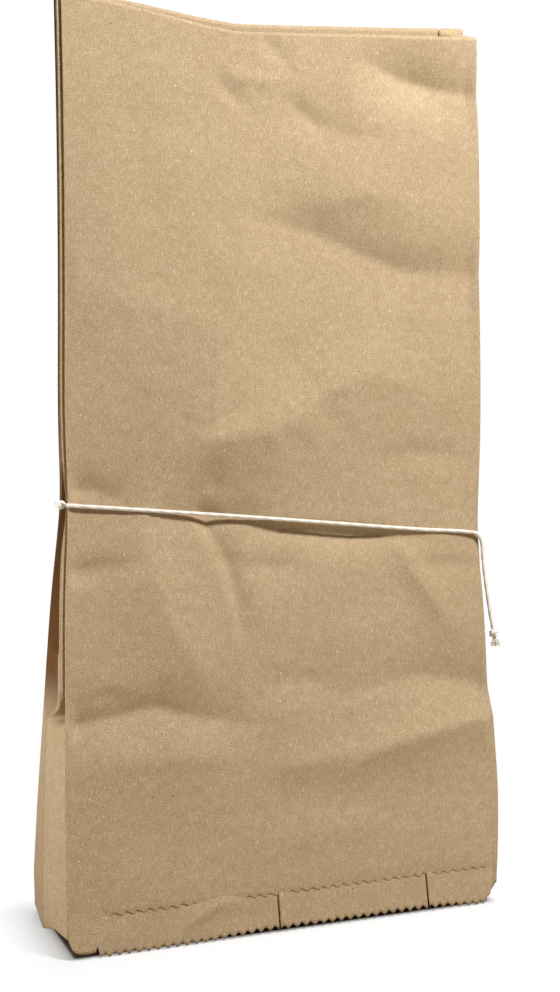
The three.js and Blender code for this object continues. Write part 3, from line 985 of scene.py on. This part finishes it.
# %% Kraft paper
cloud_dark, cloud_pale = (0.547, 0.411, 0.256, 1), (0.597, 0.456, 0.293, 1)
mottle_brown = (0.51, 0.378, 0.231, 1)
grain_brown, fibre_pale = (0.22, 0.149, 0.08, 1), (0.72, 0.58, 0.40, 1)
speck_dark, speck_pale = (0.22, 0.14, 0.075, 1), (0.82, 0.74, 0.60, 1)
# The deep brown of the painted shade in the pleats and along the side's fold.
painted_shade_brown = (0.115, 0.052, 0.018, 1)
kraft, kraft_tree, kraft_shader = new_material("kraft_paper")
sheet_uv = add_node(kraft_tree, "ShaderNodeUVMap", uv_map="sheet").outputs["UV"]
clouds = noise_layer(kraft_tree, sheet_uv, scale=0.055, detail=3)
mottle = noise_layer(kraft_tree, sheet_uv, scale=0.32, detail=2)
grain = noise_layer(kraft_tree, sheet_uv, scale=2.7, detail=3)
fibres = noise_layer(kraft_tree, sheet_uv, scale=1.0, detail=2, stretch=(1.9, 0.5, 1))
dark_spots = noise_layer(kraft_tree, sheet_uv, scale=1.2, detail=0)
pale_spots = noise_layer(kraft_tree, sheet_uv, scale=0.9, detail=0, stretch=(1.4, 0.7, 1))
dark_specks = stepped(kraft_tree, dark_spots, 0.165, 0.14)
pale_specks = stepped(kraft_tree, pale_spots, 0.872, 0.89)
pulp = mixed(kraft_tree, stepped(kraft_tree, clouds, 0.3, 0.7), cloud_dark, cloud_pale)
pulp = mixed(kraft_tree, stepped(kraft_tree, mottle, 0.3, 0.62), mottle_brown, pulp)
pulp = mixed(kraft_tree, stepped(kraft_tree, grain, 0.22, 0.60), grain_brown, pulp)
pulp = mixed(kraft_tree, stepped(kraft_tree, fibres, 0.53, 0.95), pulp, fibre_pale)
pulp = mixed(kraft_tree, dark_specks, pulp, speck_dark)
pulp = mixed(kraft_tree, pale_specks, pulp, speck_pale)
# Painted shade: each vertex's share mixes the paper's colour towards the deep brown.
painted_shade_mask = add_node(kraft_tree, "ShaderNodeAttribute", attribute_name="painted_shade").outputs["Fac"]
pulp = mixed(kraft_tree, painted_shade_mask, pulp, painted_shade_brown)
kraft_tree.links.new(pulp, kraft_shader.inputs["Base Color"])
kraft_shader.inputs["Roughness"].default_value = 0.82
kraft_shader.inputs["Specular IOR Level"].default_value = 0.05
kraft_bump = add_node(kraft_tree, "ShaderNodeBump", Strength=0.35, Distance=0.05 * MM)
kraft_tree.links.new(grain, kraft_bump.inputs["Height"])
kraft_tree.links.new(kraft_bump.outputs["Normal"], kraft_shader.inputs["Normal"])
for piece in (bag_sheet, base_panel, base_flap, foot_band, panel_skirt):
    piece.data.materials.append(kraft)
print("kraft paper on", kraft.users, "pieces")

# %% [markdown]
# ## Cotton
#
# The string is off-white cotton. Its yarns already cast their own small shadows, so the material only
# adds a little unevenness, in the object's own coordinates, and a soft sheen of loose fibres.

# %% Cotton
cotton_dark, cotton_pale = (0.82, 0.77, 0.68, 1), (0.95, 0.92, 0.85, 1)
cotton, cotton_tree, cotton_shader = new_material("cotton_string")
cotton_place = add_node(cotton_tree, "ShaderNodeTexCoord").outputs["Object"]
lint = noise_layer(cotton_tree, cotton_place, scale=2600, detail=2)
thread = mixed(cotton_tree, stepped(cotton_tree, lint, 0.3, 0.7), cotton_dark, cotton_pale)
cotton_tree.links.new(thread, cotton_shader.inputs["Base Color"])
cotton_shader.inputs["Roughness"].default_value = 0.9
cotton_shader.inputs["Specular IOR Level"].default_value = 0.2
cotton_shader.inputs["Sheen Weight"].default_value = 0.25
for piece in (tie_cord, fold_knot, end_knot, frayed_end):
    piece.data.materials.append(cotton)
print("cotton on", cotton.users, "pieces")

# %% [markdown]
# ## Backdrop
#
# The bag stands on a pale floor in front of a white backdrop. To the camera the world is white; to the
# paper it is only a weak, warm fill. The Light Path node tells the two kinds of ray apart.

# %% Backdrop
white = (1, 1, 1, 1)
fill_light = (0.1, 0.076, 0.046, 1)


def seen_directly(tree):
    """1 for rays from the camera, a mirror or a glass, and 0 for the rays that light the object."""
    path = add_node(tree, "ShaderNodeLightPath")
    share = path.outputs["Is Camera Ray"]
    for name in ("Is Glossy Ray", "Is Transmission Ray"):
        both = add_node(tree, "ShaderNodeMath", operation="MAXIMUM")
        tree.links.new(share, both.inputs[0])
        tree.links.new(path.outputs[name], both.inputs[1])
        share = both.outputs["Value"]
    return share


world = bpy.data.worlds.new("studio")
bpy.context.scene.world = world
world.use_nodes = True
backdrop = world.node_tree.nodes["Background"]
backdrop.inputs["Strength"].default_value = 1.0
sky = mixed(world.node_tree, seen_directly(world.node_tree), fill_light, white)
world.node_tree.links.new(sky, backdrop.inputs["Color"])
print("backdrop ready")

# %% [markdown]
# ## Floor
#
# The floor fades to white around the bag, so that no edge of it shows. Only a soft haze of shadow is left
# close to the foot. Under the bag and for a few millimetres around it, the floor's colour as the camera sees
# it
# is painted near black: a painted contact shadow. Both follow the distance from the foot, which vector math
# works out: a rectangle is taken off the place, and the length of what is left is the distance.

# %% Floor
floor_reach = 6
floor_lit, floor_seen = (0.54, 0.48, 0.4, 1), (0.92, 0.92, 0.92, 1)
# Painted contact shadow: the floor's colour seen by the camera, near black under the foot and a few
# millimetres around it.
painted_contact_shadow, painted_shadow_reach = (0.13, 0.132, 0.15, 1), 0.004
foot_half = (0.0638, 0.0218, 0)
haze_start, haze_end, haze_power = 0.001, 0.016, 0.4
floor_bm = bmesh.new()
bmesh.ops.create_grid(floor_bm, x_segments=1, y_segments=1, size=floor_reach)
floor_mesh = bpy.data.meshes.new("floor")
floor_bm.to_mesh(floor_mesh)
floor_bm.free()
floor = bpy.data.objects.new("floor", floor_mesh)
bpy.context.collection.objects.link(floor)

pale, pale_tree, pale_shader = new_material("pale_floor")
seen = seen_directly(pale_tree)
pale_shader.inputs["Roughness"].default_value = 0.9
pale_shader.inputs["Specular IOR Level"].default_value = 0.0
glow = add_node(pale_tree, "ShaderNodeEmission", Strength=1.0)
spot = add_node(pale_tree, "ShaderNodeTexCoord").outputs["Object"]
distance_steps = [("ABSOLUTE", None), ("SUBTRACT", foot_half), ("MAXIMUM", (0, 0, 0)), ("LENGTH", None)]
for operation, value in distance_steps:
    step = add_node(pale_tree, "ShaderNodeVectorMath", operation=operation)
    pale_tree.links.new(spot, step.inputs[0])
    if value:
        step.inputs[1].default_value = value
    spot = step.outputs["Value" if operation == "LENGTH" else "Vector"]
# The painted contact shadow is mixed into the floor that the camera sees.
shown_floor = mixed(pale_tree, stepped(pale_tree, spot, 0, painted_shadow_reach), painted_contact_shadow, floor_seen)
floor_colour = mixed(pale_tree, seen, floor_lit, shown_floor)
pale_tree.links.new(floor_colour, pale_shader.inputs["Base Color"])
haze = add_node(pale_tree, "ShaderNodeMath", operation="POWER")
haze.inputs[1].default_value = haze_power
pale_tree.links.new(stepped(pale_tree, spot, haze_start, haze_end), haze.inputs[0])
shown = add_node(pale_tree, "ShaderNodeMath", operation="MULTIPLY")
pale_tree.links.new(haze.outputs["Value"], shown.inputs[0])
pale_tree.links.new(seen, shown.inputs[1])
blend = add_node(pale_tree, "ShaderNodeMixShader")
pale_tree.links.new(shown.outputs["Value"], blend.inputs["Fac"])
pale_tree.links.new(pale_shader.outputs["BSDF"], blend.inputs[1])
pale_tree.links.new(glow.outputs["Emission"], blend.inputs[2])
pale_tree.links.new(blend.outputs["Shader"], pale_tree.nodes["Material Output"].inputs["Surface"])
floor_mesh.materials.append(pale)
print("floor", floor_reach, "m to each side")

# %% [markdown]
# ## Light
#
# A soft lamp stands in front of the bag, to the right and well above it. It shines down along the front
# panel, so that each crease shows, and it is near enough for the foot to get less light than the mouth. A
# weak lamp with a narrow spread lights the left side, and a third one keeps the back from going dark.

# %% Lamps


def soft_lamp(name, place, aim, size, power):
    lamp_data = bpy.data.lights.new(name, "AREA")
    lamp_data.shape = "DISK"
    lamp_data.size = size
    lamp_data.energy = power
    lamp = bpy.data.objects.new(name, lamp_data)
    lamp.location = place
    lamp.rotation_euler = (Vector(aim) - Vector(place)).to_track_quat("-Z", "Y").to_euler()
    bpy.context.collection.objects.link(lamp)
    return lamp


soft_lamp("key", place=(0.19, -0.33, 0.60), aim=(0, 0, 0.18), size=0.13, power=4.9)
left_fill = soft_lamp("left_fill", place=(-0.85, 0.02, 0.10), aim=(-0.066, 0, 0.10), size=0.10, power=0.17)
left_fill.data.spread = math.radians(30)
soft_lamp("back_fill", place=(0.22, 0.62, 0.48), aim=(0.02, 0, 0.14), size=0.3, power=2.4)
bpy.context.scene.view_settings.view_transform = "Standard"
